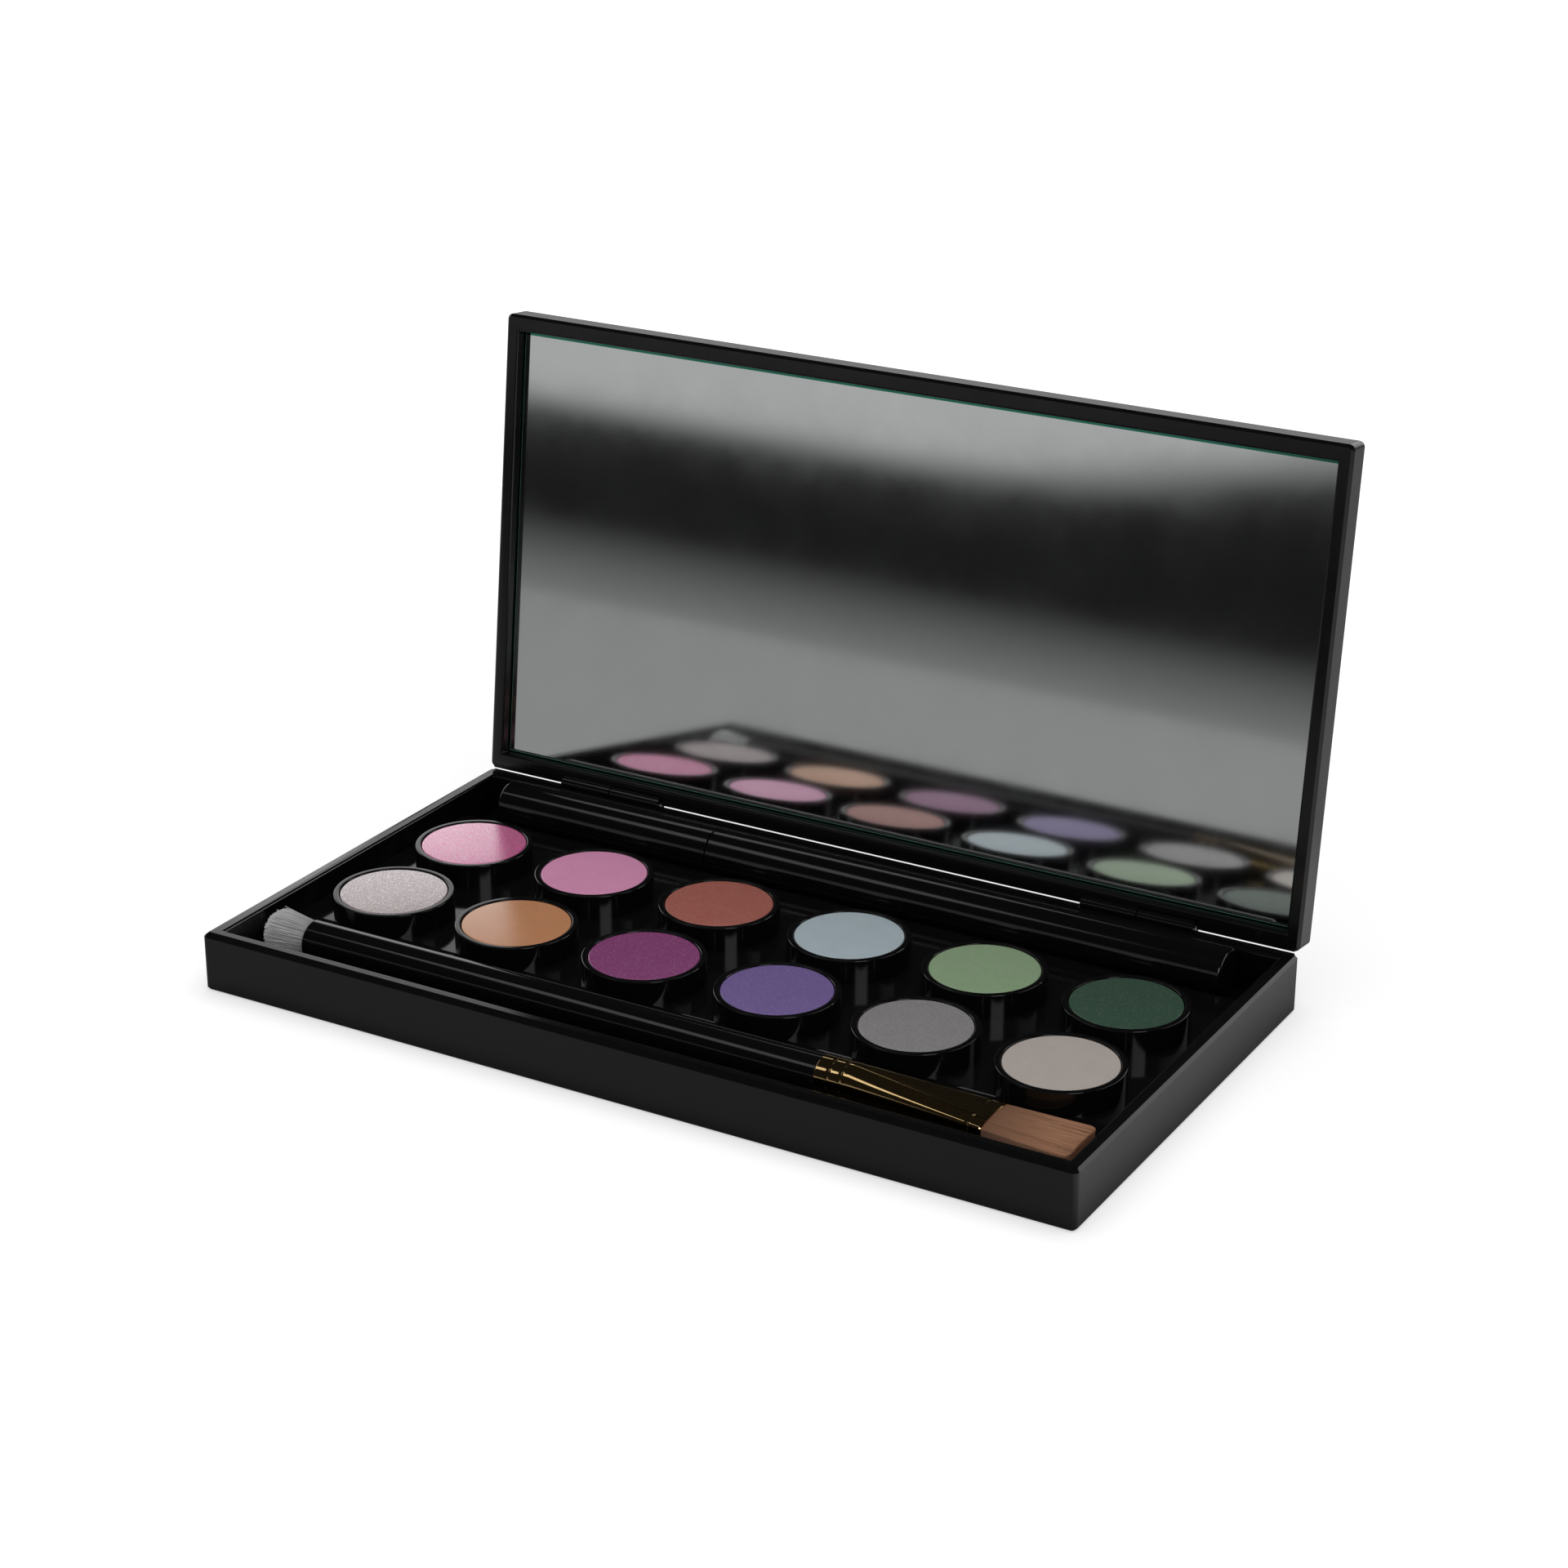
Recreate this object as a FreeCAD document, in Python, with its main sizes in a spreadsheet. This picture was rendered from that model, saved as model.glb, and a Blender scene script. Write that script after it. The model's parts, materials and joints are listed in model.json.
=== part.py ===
import FreeCAD, Part
import math
import os
import re

import Sketcher

# Eyeshadow palette, open as it is used: a shallow base with a hinged mirror lid, an insert tray
# with twelve round pots, a double-ended brush in front of them and a slim liner pen behind.
# Millimetres, X to the right, Y to the back, Z up, origin at the centre of the underside.

# Driving sizes, each written once
SIZES = {
    # case
    "case_width": 190.0,
    "case_depth": 100.0,
    "corner_radius": 1.2,
    "side_wall": 3.0,
    "end_wall": 3.5,
    "edge_break": 0.6,
    "rim_break": 0.3,
    # base
    "base_height": 12.0,
    "floor_thickness": 1.6,
    "foot_break": 0.5,
    # lid, measured as if it were closed
    "lid_height": 6.25,
    "lid_gap": 0.1,
    "lid_open_angle": 96.75,
    "mirror_depth": 2.6,
    "mirror_thickness": 1.2,
    "mirror_clearance": 0.2,
    "tape_thickness": 0.3,
    "tape_inset": 4.0,
    # hinges
    "hinge_inset": 32.925,
    "hinge_shift": -1.2,
    "axis_inset": 0.1,
    "axis_rise": 0.5,
    "knuckle_length": 12.3,
    "knuckle_gap": 0.3,
    "barrel_radius": 1.6,
    "notch_clearance": 0.25,
    "pin_radius": 0.6,
    "pin_clearance": 0.05,
    "heel_reach": 1.0,
    "heel_thickness": 1.2,
    "stop_clearance": 0.15,
    # closing magnets
    "magnet_inset": 40.0,
    "magnet_length": 12.0,
    "magnet_section": 2.0,
    "magnet_cover": 0.8,
    # insert tray
    "tray_clearance": 0.15,
    "tray_thickness": 1.2,
    "deck_height": 7.0,
    "channel_height": 3.75,
    "liner_overhang": 1.2,
    "shoulder_radius": 2.8,
    "rib_thickness": 1.2,
    # pots and powders
    "pot_columns": 6,
    "pot_side_gap": 5.085,
    "row_pitch": 28.2,
    "pot_radius": 12.24,
    "pot_height": 4.9,
    "pot_wall": 1.2,
    "pot_floor": 1.2,
    "powder_clearance": 0.15,
    "powder_drop": 0.15,
    # brush
    "brush_deck_gap": 7.96,
    "brush_end_gap": 1.5,
    "brush_tip_gap": 3.2,
    "rest_gap": 0.05,
    "handle_radius": 4.1,
    "spigot_length": 6.0,
    "ferrule_length": 34.5,
    "ferrule_radius": 4.2,
    "ferrule_wall": 0.3,
    "ferrule_fit": 0.02,
    "ferrule_round_length": 7.0,
    "ferrule_flat_length": 2.5,
    "ferrule_half_width": 5.6,
    "ferrule_half_depth": 2.08,
    "bristle_length": 17.8,
    "bristle_half_width": 6.6,
    "bristle_half_depth": 1.1,
    "bristle_tip_round": 1.6,
    "tuft_length": 10.8,
    "tuft_root": 6.0,
    "tuft_root_radius": 3.6,
    "tuft_radius": 4.1,
    # liner pen
    "liner_radius": 5.15,
    "liner_break": 0.6,
    "liner_side_gap": 0.35,
    "liner_end_gap": 7.8,
    "cap_length": 52.2,
    "cap_wall": 0.9,
    "cap_end": 1.5,
    "seam_gap": 0.25,
    "neck_length": 14.0,
    "neck_clearance": 0.1,
    "nib_length": 7.0,
    "nib_radius": 1.5,
    "nib_tip_half": 0.3,
    "nib_root": 5.0,
    "barrel_wall": 1.3,
    "reservoir_length": 78.0,
    "reservoir_clearance": 0.05,
    "plug_length": 6.0,
}

doc = FreeCAD.newDocument("eyeshadow_palette")
sheet = doc.addObject("Spreadsheet::Sheet", "sizes")
for row, (alias, amount) in enumerate(SIZES.items(), start=1):
    sheet.set("A%d" % row, alias)
    sheet.set("B%d" % row, str(amount))
    sheet.setAlias("B%d" % row, alias)
doc.recompute()

# Places worked out from the driving sizes, as expressions of them
INNER_X = "(case_width / 2 - side_wall)"
INNER_Y = "(case_depth / 2 - end_wall)"
AXIS_Y = "(case_depth / 2 - axis_inset)"
AXIS_Z = "(base_height + axis_rise)"
LID_BOTTOM = "(base_height + lid_gap)"
HINGE_PITCH = "(case_width - 2 * hinge_inset)"
FIRST_HINGE = "(hinge_shift - " + HINGE_PITCH + " / 2)"
NOTCH_RADIUS = "(barrel_radius + notch_clearance)"
LINER_LENGTH = "(2 * (" + INNER_X + " - liner_end_gap))"
LINER_Y = "(" + INNER_Y + " - liner_side_gap - liner_radius)"
LINER_Z = "(channel_height + rest_gap + liner_radius)"
NECK_RADIUS = "(liner_radius - cap_wall - neck_clearance)"
BARREL_BORE = "(liner_radius - barrel_wall)"
FIRST_POT = "(pot_side_gap + pot_radius - " + INNER_X + ")"
POT_PITCH = "(-2 * " + FIRST_POT + " / (pot_columns - 1))"
DECK_FRONT = "(-row_pitch / 2 - pot_radius)"
DECK_REAR = "(" + LINER_Y + " - liner_radius + liner_overhang)"
BRUSH_X = "(brush_end_gap + tuft_length - " + INNER_X + ")"
BRUSH_Y = "(" + DECK_FRONT + " - brush_deck_gap)"
BRUSH_Z = "(channel_height + rest_gap + max(handle_radius; ferrule_radius))"
BRUSH_TIP = "(" + INNER_X + " - brush_tip_gap)"
HANDLE_LENGTH = "(" + BRUSH_TIP + " - bristle_length - ferrule_length - " + BRUSH_X + ")"

parts = []


def number(text):
    """Value of an expression of the driving sizes."""
    return float(sheet.evalExpression(text))


def bound(text):
    """The same expression, as other objects of the document read it."""
    return re.sub(r"[a-z_]\w*", lambda m: "sizes." + m[0] if m[0] in SIZES else m[0], text)


def new_body(label):
    """Empty body of one sub-part, kept for the list that is written at the end."""
    body = doc.addObject("PartDesign::Body", label)
    body.Label = label
    parts.append(body)
    return body


def origin_feature(body, role):
    """Plane or axis of the body's own origin."""
    return next(feature for feature in body.Origin.OriginFeatures if feature.Role == role)


def new_sketch(body, name, role, offset="0"):
    """Sketch on one of the body's origin planes, moved along the plane's normal."""
    sketch = body.newObject("Sketcher::SketchObject", body.Label + "_" + name)
    sketch.AttachmentSupport = [(origin_feature(body, role), "")]
    sketch.MapMode = "FlatFace"
    sketch.setExpression("AttachmentOffset.Base.z", bound(offset))
    return sketch


def constrain(sketch, text, *terms):
    """Dimension of a sketch, bound to an expression of the driving sizes."""
    index = sketch.addConstraint(Sketcher.Constraint(*terms, number(text)))
    sketch.setExpression("Constraints[%d]" % index, bound(text))


def place_point(sketch, geometry, point, across, up):
    """Distances of a point from the sketch's origin."""
    for kind, axis, text in (("DistanceX", -2, across), ("DistanceY", -1, up)):
        if text == "0":
            sketch.addConstraint(Sketcher.Constraint("PointOnObject", geometry, point, axis))
        else:
            constrain(sketch, text, kind, -1, 1, geometry, point)


def draw_outline(sketch, corners):
    """Closed outline through corners (across, up), or (across, up, radius) for a round one."""
    count = len(corners)
    places = [FreeCAD.Vector(number(corner[0]), number(corner[1]), 0) for corner in corners]
    arrive = []
    leave = []
    for index, corner in enumerate(corners):
        here = places[index]
        back = (places[index - 1] - here).normalize()
        ahead = (places[(index + 1) % count] - here).normalize()
        radius = number(corner[2]) if len(corner) > 2 else 0
        reach = radius / math.tan(back.getAngle(ahead) / 2) if radius else 0
        arrive.append(here + back * reach)
        leave.append(here + ahead * reach)
    lines = []
    for index in range(count):
        end = arrive[(index + 1) % count]
        lines.append(sketch.addGeometry(Part.LineSegment(leave[index], end)))
    for index, corner in enumerate(corners):
        before = lines[index - 1]
        after = lines[index]
        if len(corner) == 2:
            sketch.addConstraint(Sketcher.Constraint("Coincident", before, 2, after, 1))
            place_point(sketch, after, 1, *corner)
        else:
            draw_round(sketch, corner, places[index], arrive[index], leave[index], before, after)


def draw_round(sketch, corner, here, first, last, before, after):
    """Arc tangent to the two lines that meet at a round corner."""
    across, up, radius = corner
    middle = (first + last) * 0.5
    outward = (here - middle).normalize()
    half_chord = (last - first).Length / 2
    inset = math.sqrt(max(number(radius) ** 2 - half_chord ** 2, 0))
    centre = middle - outward * inset
    left_turn = (here - first).cross(last - here).z > 0
    low, high = (first, last) if left_turn else (last, first)
    circle = Part.Circle(centre, FreeCAD.Vector(0, 0, 1), number(radius))
    arc = sketch.addGeometry(Part.ArcOfCircle(circle, circle.parameter(low), circle.parameter(high)))
    start, end = (1, 2) if left_turn else (2, 1)
    mark = sketch.addGeometry(Part.Point(here), True)
    sketch.addConstraint(Sketcher.Constraint("Tangent", before, 2, arc, start))
    sketch.addConstraint(Sketcher.Constraint("Tangent", arc, end, after, 1))
    constrain(sketch, radius, "Radius", arc)
    sketch.addConstraint(Sketcher.Constraint("PointOnObject", mark, 1, before))
    sketch.addConstraint(Sketcher.Constraint("PointOnObject", mark, 1, after))
    place_point(sketch, mark, 1, across, up)


def draw_box(sketch, left, right, low, high, radius=None):
    """Rectangle from four distances, with round corners where a radius is given."""
    places = ((left, low), (right, low), (right, high), (left, high))
    draw_outline(sketch, [place + (radius,) if radius else place for place in places])


def draw_circle(sketch, radius, across="0", up="0"):
    """Circle about a point of the sketch."""
    centre = FreeCAD.Vector(number(across), number(up), 0)
    circle = sketch.addGeometry(Part.Circle(centre, FreeCAD.Vector(0, 0, 1), number(radius)))
    constrain(sketch, radius, "Radius", circle)
    place_point(sketch, circle, 3, across, up)


def extrude(kind, sketch, length, reversed_way=False):
    """Pad or Pocket of a sketch, along its plane's normal."""
    body = sketch.getParentGeoFeatureGroup()
    feature = body.newObject("PartDesign::" + kind, sketch.Label + "_" + kind.lower())
    feature.Profile = sketch
    feature.setExpression("Length", bound(length))
    feature.Reversed = reversed_way
    return feature


def pad(sketch, length):
    return extrude("Pad", sketch, length)


def cut(sketch, length):
    """Pocket that runs along the normal, so the same way as a pad of the sketch would."""
    return extrude("Pocket", sketch, length, reversed_way=True)


def turn(kind, sketch, axis):
    """Revolution or Groove of a sketch about its own H_Axis or V_Axis."""
    body = sketch.getParentGeoFeatureGroup()
    feature = body.newObject("PartDesign::" + kind, sketch.Label + "_" + kind.lower())
    feature.Profile = sketch
    feature.ReferenceAxis = (sketch, [axis])
    feature.Angle = 360
    return feature


def repeat(features, role, length, count):
    """Row of copies of some features along an axis of their body."""
    body = features[0].getParentGeoFeatureGroup()
    pattern = body.newObject("PartDesign::LinearPattern", features[0].Label + "_row")
    pattern.Originals = features
    pattern.Direction = (origin_feature(body, role), [""])
    pattern.setExpression("Length", bound(length))
    pattern.setExpression("Occurrences", bound(count))
    body.Tip = pattern
    return pattern


def dress(kind, feature, amount, chosen):
    """Fillet or Chamfer of the edges of a feature that pass a test of their box."""
    doc.recompute()
    body = feature.getParentGeoFeatureGroup()
    edges = feature.Shape.Edges
    names = ["Edge%d" % n for n, edge in enumerate(edges, start=1) if chosen(edge.BoundBox)]
    dressed = body.newObject("PartDesign::" + kind, feature.Label + "_" + kind.lower())
    dressed.Base = (feature, names)
    dressed.setExpression("Radius" if kind == "Fillet" else "Size", bound(amount))
    return dressed


def at_height(text):
    """Test for edges that lie flat at one height."""
    height = number(text)
    return lambda box: max(abs(box.ZMin - height), abs(box.ZMax - height)) < 1e-4


def open_lid(body):
    """Turn a piece that is drawn closed to the open lid, about the hinge axis."""
    axis = FreeCAD.Vector(0, number(AXIS_Y), number(AXIS_Z))
    swing = FreeCAD.Rotation(FreeCAD.Vector(1, 0, 0), -number("lid_open_angle"))
    body.Placement = FreeCAD.Placement(FreeCAD.Vector(), swing, axis)


def move(body, across="0", along="0", up="0"):
    body.Placement.Base = FreeCAD.Vector(number(across), number(along), number(up))


# Hinge knuckles, notches and bores, the same way on base and lid
def add_hinges(body, knuckle_start, notch_start, gusset, bore_radius):
    """Knuckle, notch for the other half's knuckle and pin bore, repeated for both hinges."""
    half_gap = "knuckle_gap / 2"
    notch = new_sketch(body, "notch", "YZ_Plane", notch_start)
    draw_circle(notch, NOTCH_RADIUS, AXIS_Y, AXIS_Z)
    notch_cut = cut(notch, "knuckle_length + knuckle_gap * 1.5")
    web = new_sketch(body, "gusset", "YZ_Plane", knuckle_start)
    draw_outline(web, gusset)
    web_pad = pad(web, "knuckle_length - " + half_gap)
    barrel = new_sketch(body, "barrel", "YZ_Plane", knuckle_start)
    draw_circle(barrel, "barrel_radius", AXIS_Y, AXIS_Z)
    barrel_pad = pad(barrel, "knuckle_length - " + half_gap)
    bore = new_sketch(body, "bore", "YZ_Plane", knuckle_start)
    draw_circle(bore, bore_radius, AXIS_Y, AXIS_Z)
    bore_cut = cut(bore, "knuckle_length - " + half_gap)
    return repeat([notch_cut, web_pad, barrel_pad, bore_cut], "X_Axis", HINGE_PITCH, "2")


def add_magnet_pockets(body, low):
    """Two closed pockets in the front wall that the magnets are moulded into."""
    pocket = new_sketch(body, "magnet_pocket", "XY_Plane", low)
    for side in ("-1", "1"):
        centre = side + " * (case_width / 2 - magnet_inset)"
        draw_box(pocket, centre + " - magnet_length / 2", centre + " + magnet_length / 2",
                 "-case_depth / 2 + (end_wall - magnet_section) / 2",
                 "-case_depth / 2 + (end_wall + magnet_section) / 2")
    return cut(pocket, "magnet_section")


# Base: a shallow open box with a bevelled rim, two notches and two knuckles at the back
def make_base_shell():
    body = new_body("base_shell")
    outer = new_sketch(body, "outer", "XY_Plane")
    draw_box(outer, "-case_width / 2", "case_width / 2", "-case_depth / 2", "case_depth / 2",
             "corner_radius")
    block = pad(outer, "base_height")
    rim = dress("Chamfer", block, "edge_break", at_height("base_height"))
    dress("Chamfer", rim, "foot_break", at_height("0"))
    hollow = new_sketch(body, "hollow", "XY_Plane", "floor_thickness")
    draw_box(hollow, "-" + INNER_X, INNER_X, "-" + INNER_Y, INNER_Y)
    opened = cut(hollow, "base_height")
    inner = number(INNER_X)
    top = at_height("base_height")
    dress("Chamfer", opened, "rim_break", lambda box: top(box) and box.XMax <= inner + 1e-4
          and abs(box.YMax) <= number(INNER_Y) + 1e-4)
    add_magnet_pockets(body, "base_height - magnet_cover - magnet_section")
    knuckle_start = FIRST_HINGE + " + knuckle_gap / 2"
    notch_start = FIRST_HINGE + " - knuckle_length - knuckle_gap"
    rear = "case_depth / 2"
    lower = AXIS_Z + " - barrel_radius * 2 * cos(45) + axis_inset"
    touch_y = AXIS_Y + " + barrel_radius * cos(45)"
    touch_z = AXIS_Z + " - barrel_radius * cos(45)"
    gusset = [(rear + " - end_wall / 2", lower), (rear, lower), (touch_y, touch_z),
              (AXIS_Y, AXIS_Z), (rear + " - end_wall / 2", "base_height - edge_break")]
    add_hinges(body, knuckle_start, notch_start, gusset, "pin_radius")


# Lid: a shallow frame with the mirror's recess, drawn closed and swung open
def make_lid_shell():
    body = new_body("lid_shell")
    outer = new_sketch(body, "outer", "XY_Plane", LID_BOTTOM)
    draw_box(outer, "-case_width / 2", "case_width / 2", "-case_depth / 2", "case_depth / 2",
             "corner_radius")
    block = pad(outer, "lid_height")
    top = LID_BOTTOM + " + lid_height"
    back = dress("Chamfer", block, "edge_break", at_height(top))
    dress("Chamfer", back, "edge_break", at_height(LID_BOTTOM))
    recess = new_sketch(body, "recess", "XY_Plane", LID_BOTTOM)
    draw_box(recess, "-" + INNER_X, INNER_X, "-" + INNER_Y, INNER_Y)
    opened = cut(recess, "mirror_depth + mirror_thickness + tape_thickness")
    inner = number(INNER_X)
    rim = at_height(LID_BOTTOM)
    dress("Chamfer", opened, "rim_break", lambda box: rim(box) and box.XMax <= inner + 1e-4
          and abs(box.YMax) <= number(INNER_Y) + 1e-4)
    add_magnet_pockets(body, LID_BOTTOM + " + magnet_cover")
    knuckle_start = FIRST_HINGE + " - knuckle_length"
    notch_start = FIRST_HINGE + " - knuckle_gap / 2"
    add_hinges(body, knuckle_start, notch_start, heel_outline(), "pin_radius + pin_clearance")
    open_lid(body)


def heel_outline():
    """Heel behind the lid's knuckle: its lower face lies along the base's rear face when open."""
    lean = "(lid_open_angle)"
    stop = "(axis_inset + stop_clearance)"
    reach = "(barrel_radius + notch_clearance + heel_reach)"
    across = "(" + AXIS_Y + " + {0} * sin(" + lean + ") + {1} * cos(" + lean + "))"
    up = "(" + AXIS_Z + " - {0} * cos(" + lean + ") + {1} * sin(" + lean + "))"
    tip = (across.format(reach, stop), up.format(reach, stop))
    thick = stop + " + heel_thickness"
    back = (across.format(reach, thick), up.format(reach, thick))
    inside = "case_depth / 2 - end_wall / 2"
    root = (inside, AXIS_Z + " + barrel_radius + heel_reach * 2")
    foot = (across.format("0", stop), up.format("0", stop))
    return [foot, tip, back, root, (inside, AXIS_Z)]


def make_magnets(label, low):
    """Pair of bar magnets that fill the pockets of the front wall."""
    body = new_body(label)
    bars = new_sketch(body, "bars", "XY_Plane", low)
    for side in ("-1", "1"):
        centre = side + " * (case_width / 2 - magnet_inset)"
        draw_box(bars, centre + " - magnet_length / 2", centre + " + magnet_length / 2",
                 "-case_depth / 2 + (end_wall - magnet_section) / 2",
                 "-case_depth / 2 + (end_wall + magnet_section) / 2")
    pad(bars, "magnet_section")
    return body


def make_mirror():
    """Mirror glass with ground edges, and the adhesive sheet behind it."""
    glass = new_body("mirror_glass")
    plate = new_sketch(glass, "plate", "XY_Plane", LID_BOTTOM + " + mirror_depth")
    half_x = "(" + INNER_X + " - mirror_clearance)"
    half_y = "(" + INNER_Y + " - mirror_clearance)"
    draw_box(plate, "-" + half_x, half_x, "-" + half_y, half_y)
    slab = pad(plate, "mirror_thickness")
    dress("Chamfer", slab, "mirror_clearance", at_height(LID_BOTTOM + " + mirror_depth"))
    open_lid(glass)
    tape = new_body("mirror_tape")
    sheet_top = LID_BOTTOM + " + mirror_depth + mirror_thickness"
    film = new_sketch(tape, "film", "XY_Plane", sheet_top)
    half_x = "(" + INNER_X + " - tape_inset)"
    half_y = "(" + INNER_Y + " - tape_inset)"
    draw_box(film, "-" + half_x, half_x, "-" + half_y, half_y)
    pad(film, "tape_thickness")
    open_lid(tape)


def make_hinge_pins():
    """One steel pin through the two knuckles of each hinge."""
    for label, side in (("hinge_pin_left", "-"), ("hinge_pin_right", "+")):
        pin = new_body(label)
        start = "hinge_shift " + side + HINGE_PITCH + " / 2 - knuckle_length"
        rod = new_sketch(pin, "rod", "YZ_Plane", start)
        draw_circle(rod, "pin_radius", AXIS_Y, AXIS_Z)
        pad(rod, "knuckle_length * 2")


# Insert tray: one sheet that steps up from the channels to the deck, on cross ribs
def make_insert_tray():
    body = new_body("insert_tray")
    half_x = "(" + INNER_X + " - tray_clearance)"
    half_y = "(" + INNER_Y + " - tray_clearance)"
    under = "(channel_height - tray_thickness)"
    deck_under = "(deck_height - tray_thickness)"
    inner_radius = "(shoulder_radius - tray_thickness)"
    section = new_sketch(body, "section", "YZ_Plane", "-" + half_x)
    draw_outline(section, [
        ("-" + half_y, under), (DECK_FRONT + " + tray_thickness", under),
        (DECK_FRONT + " + tray_thickness", deck_under, inner_radius),
        (DECK_REAR + " - tray_thickness", deck_under, inner_radius),
        (DECK_REAR + " - tray_thickness", under), (half_y, under),
        (half_y, "channel_height"), (DECK_REAR, "channel_height"),
        (DECK_REAR, "deck_height", "shoulder_radius"),
        (DECK_FRONT, "deck_height", "shoulder_radius"),
        (DECK_FRONT, "channel_height"), ("-" + half_y, "channel_height")])
    pad(section, "2 * " + half_x)
    first_rib = "-pot_columns / 2 * " + POT_PITCH + " - rib_thickness / 2"
    rib = new_sketch(body, "rib", "YZ_Plane", first_rib)
    middle = "(channel_height - tray_thickness / 2)"
    deck_middle = "(deck_height - tray_thickness / 2)"
    front = DECK_FRONT + " + shoulder_radius"
    rear = DECK_REAR + " - shoulder_radius"
    draw_outline(rib, [
        ("-" + half_y, "floor_thickness"), (half_y, "floor_thickness"), (half_y, middle),
        (DECK_REAR + " - tray_thickness / 2", middle), (rear, deck_middle), (front, deck_middle),
        (DECK_FRONT + " + tray_thickness / 2", middle), ("-" + half_y, middle)])
    rib_pad = pad(rib, "rib_thickness")
    repeat([rib_pad], "X_Axis", "pot_columns * " + POT_PITCH, "pot_columns + 1")


# Pots and powders: two rows of turned cups on the deck, each cup with its pressed cake
def make_rows():
    bore = "(pot_radius - pot_wall)"
    cup = [("0", "0"), ("pot_radius", "0"), ("pot_radius", "pot_height"), (bore, "pot_height"),
           (bore, "pot_floor"), ("0", "pot_floor")]
    edge = bore + " - powder_clearance"
    top = "pot_height - powder_drop"
    cake = [("0", "pot_floor"), (edge, "pot_floor"), (edge, top), ("0", top)]
    for place, along in (("front", "-row_pitch / 2"), ("rear", "row_pitch / 2")):
        make_row("pots_%s_row" % place, along, cup)
        make_row("powders_%s_row" % place, along, cake)


def make_row(label, along, corners):
    """Half section turned about its upright axis and repeated along the deck."""
    body = new_body(label)
    half = new_sketch(body, "half", "XZ_Plane")
    draw_outline(half, corners)
    first = turn("Revolution", half, "V_Axis")
    repeat([first], "X_Axis", "-2 * " + FIRST_POT, "pot_columns")
    move(body, FIRST_POT, along, "deck_height")


# Brush: turned handle, ferrule pressed from round to flat, two soft ends
def make_brush():
    make_brush_handle()
    make_brush_ferrule()
    make_flat_bristles()
    make_soft_tuft()


def make_brush_handle():
    body = new_body("brush_handle")
    half = new_sketch(body, "half", "XZ_Plane")
    spigot = "ferrule_radius - ferrule_wall - ferrule_fit"
    draw_outline(half, [
        ("tuft_root", "0"), (HANDLE_LENGTH + " + spigot_length", "0"),
        (HANDLE_LENGTH + " + spigot_length", spigot), (HANDLE_LENGTH, spigot),
        (HANDLE_LENGTH, "handle_radius"), ("0", "handle_radius"), ("0", "tuft_root_radius"),
        ("tuft_root", "tuft_root_radius")])
    turn("Revolution", half, "H_Axis")
    move(body, BRUSH_X, BRUSH_Y, BRUSH_Z)


def flatten(body, start, start_half, end, end_half, limit):
    """Cut two flats on a piece, above and below, that close in from start to end."""
    flats = new_sketch(body, "flats", "XZ_Plane", "-" + limit)
    for side in ("", "-"):
        draw_outline(flats, [
            (start, side + start_half), (end, side + end_half), (end, side + limit),
            (start, side + limit)])
    return cut(flats, "2 * " + limit)


def make_brush_ferrule():
    """Metal sleeve that opens out from its round end to a flat mouth that holds the hair."""
    body = new_body("brush_ferrule")
    half = new_sketch(body, "half", "XZ_Plane")
    bore = "ferrule_radius - ferrule_wall"
    draw_outline(half, [
        ("0", bore), ("0", "ferrule_radius"), ("ferrule_round_length", "ferrule_radius"),
        ("ferrule_length", "ferrule_half_width"), ("ferrule_length", "0"),
        ("spigot_length", "0"), ("spigot_length", bore)])
    turn("Revolution", half, "H_Axis")
    flatten(body, "ferrule_round_length", "ferrule_radius", "ferrule_length", "ferrule_half_depth",
            "ferrule_half_width")
    mouth = new_sketch(body, "mouth", "YZ_Plane", "ferrule_length - ferrule_flat_length")
    draw_mouth(mouth, "ferrule_wall")
    cut(mouth, "ferrule_flat_length")
    move(body, BRUSH_TIP + " - bristle_length - ferrule_length", BRUSH_Y, BRUSH_Z)


def draw_mouth(sketch, inset):
    """Flat round-ended outline of the ferrule's mouth."""
    wide = "(ferrule_half_width - ferrule_wall - %s)" % inset
    deep = "(ferrule_half_depth - %s)" % inset
    draw_box(sketch, "-" + wide, wide, "-" + deep, deep, deep + " * 0.9")


def make_flat_bristles():
    """Flat tuft held in the ferrule's mouth, wider and thinner towards its tip."""
    body = new_body("brush_flat_bristles")
    plan = new_sketch(body, "plan", "XY_Plane", "-ferrule_half_depth")
    wide = "(ferrule_half_width - ferrule_wall)"
    draw_outline(plan, [
        ("0", "-" + wide), ("bristle_length", "-bristle_half_width", "bristle_tip_round"),
        ("bristle_length", "bristle_half_width", "bristle_tip_round"), ("0", wide)])
    pad(plan, "2 * ferrule_half_depth")
    flatten(body, "0", "(ferrule_half_depth - ferrule_wall)", "bristle_length", "bristle_half_depth",
            "bristle_half_width")
    root = new_sketch(body, "root", "YZ_Plane", "-ferrule_flat_length")
    draw_mouth(root, "(ferrule_wall + ferrule_fit)")
    pad(root, "ferrule_flat_length")
    move(body, BRUSH_TIP + " - bristle_length", BRUSH_Y, BRUSH_Z)


def make_soft_tuft():
    """Round tuft glued in the handle's other end, a little fuller than its root."""
    body = new_body("brush_soft_tuft")
    root = new_sketch(body, "root", "YZ_Plane")
    draw_circle(root, "tuft_root_radius")
    pad(root, "tuft_root")
    hair = new_sketch(body, "hair", "YZ_Plane", "-tuft_length")
    draw_circle(hair, "tuft_radius")
    pad(hair, "tuft_length")
    move(body, BRUSH_X, BRUSH_Y, BRUSH_Z)


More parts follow.
